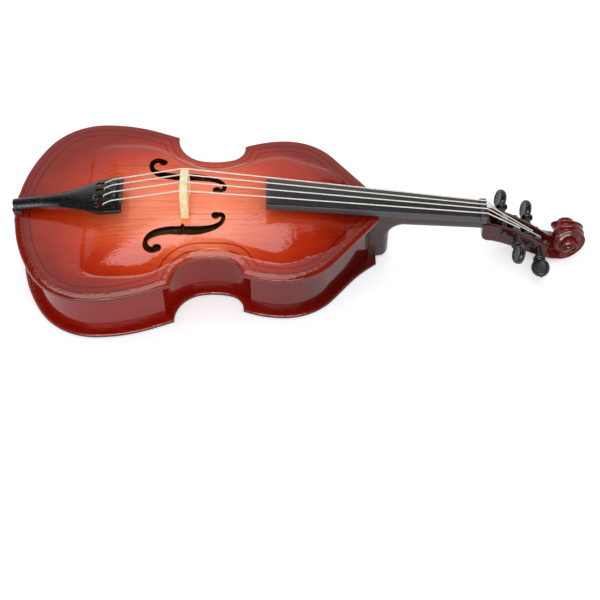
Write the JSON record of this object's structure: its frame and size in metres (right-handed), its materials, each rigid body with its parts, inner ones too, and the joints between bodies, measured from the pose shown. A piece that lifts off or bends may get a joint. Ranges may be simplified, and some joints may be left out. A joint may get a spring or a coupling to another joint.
{
  "type": "miniature violin",
  "caption": "Miniature violin-family instrument with sloping shoulders, arched belly, f-holes, carved scroll and turning pegs.",
  "frame": {"origin": "on the resting plane under the flat back, below the middle of the whole instrument's box", "axes": "+X from the tail to the scroll, +Y to the bass side, +Z out of the belly"},
  "size_m": [0.202, 0.0794, 0.038],
  "materials": {
    "belly_varnish": "glossy orange-red varnish, darker towards the edges",
    "back_varnish": "glossy dark red varnish",
    "rib_varnish": "glossy dark red varnish",
    "inside_wood": "raw sawn wood",
    "neck_wood": "dark red varnish, satin on the grip",
    "black_wood": "black stained, satin",
    "bridge_wood": "raw pale wood",
    "black_plastic": "black, moulded, semi-gloss",
    "tailgut_nylon": "black cord",
    "string_steel": "pale wire"
  },
  "bodies": {
    "body": {"belly": "belly_varnish", "back": "back_varnish", "lower_rib_bass": "rib_varnish", "lower_rib_treble": "rib_varnish", "waist_rib_bass": "rib_varnish", "waist_rib_treble": "rib_varnish", "upper_rib_bass": "rib_varnish", "upper_rib_treble": "rib_varnish", "top_block": "inside_wood", "bottom_block": "inside_wood", "lower_corner_block_bass": "inside_wood", "lower_corner_block_treble": "inside_wood", "upper_corner_block_bass": "inside_wood", "upper_corner_block_treble": "inside_wood", "belly_linings": "inside_wood", "back_linings": "inside_wood", "bass_bar": "inside_wood", "sound_post": "inside_wood", "neck": "neck_wood", "fingerboard": "black_wood", "nut": "black_wood", "saddle": "black_wood", "bridge": "bridge_wood", "tailpiece": "black_plastic", "tailgut": "tailgut_nylon", "end_button": "black_plastic", "string_1": "string_steel", "string_2": "string_steel", "string_3": "string_steel", "string_4": "string_steel", "string_knots": "string_steel"},
    "tuning_peg_1": {"peg_1": "black_plastic", "string_winding_1": "string_steel"},
    "tuning_peg_2": {"peg_2": "black_plastic", "string_winding_2": "string_steel"},
    "tuning_peg_3": {"peg_3": "black_plastic", "string_winding_3": "string_steel"},
    "tuning_peg_4": {"peg_4": "black_plastic", "string_winding_4": "string_steel"}
  },
  "joints": [
    {"name": "tuning_peg_1_turn", "type": "hinge", "parent": "body", "child": "tuning_peg_1", "pos_m": [0.07123, 0, 0.0135], "axis": [0, 1, 0], "continuous": true},
    {"name": "tuning_peg_2_turn", "type": "hinge", "parent": "body", "child": "tuning_peg_2", "pos_m": [0.08113, 0, 0.0076], "axis": [0, 1, 0], "continuous": true},
    {"name": "tuning_peg_3_turn", "type": "hinge", "parent": "body", "child": "tuning_peg_3", "pos_m": [0.08423, 0, 0.0052], "axis": [0, 1, 0], "continuous": true},
    {"name": "tuning_peg_4_turn", "type": "hinge", "parent": "body", "child": "tuning_peg_4", "pos_m": [0.07583, 0, 0.0116], "axis": [0, 1, 0], "continuous": true}
  ]
}
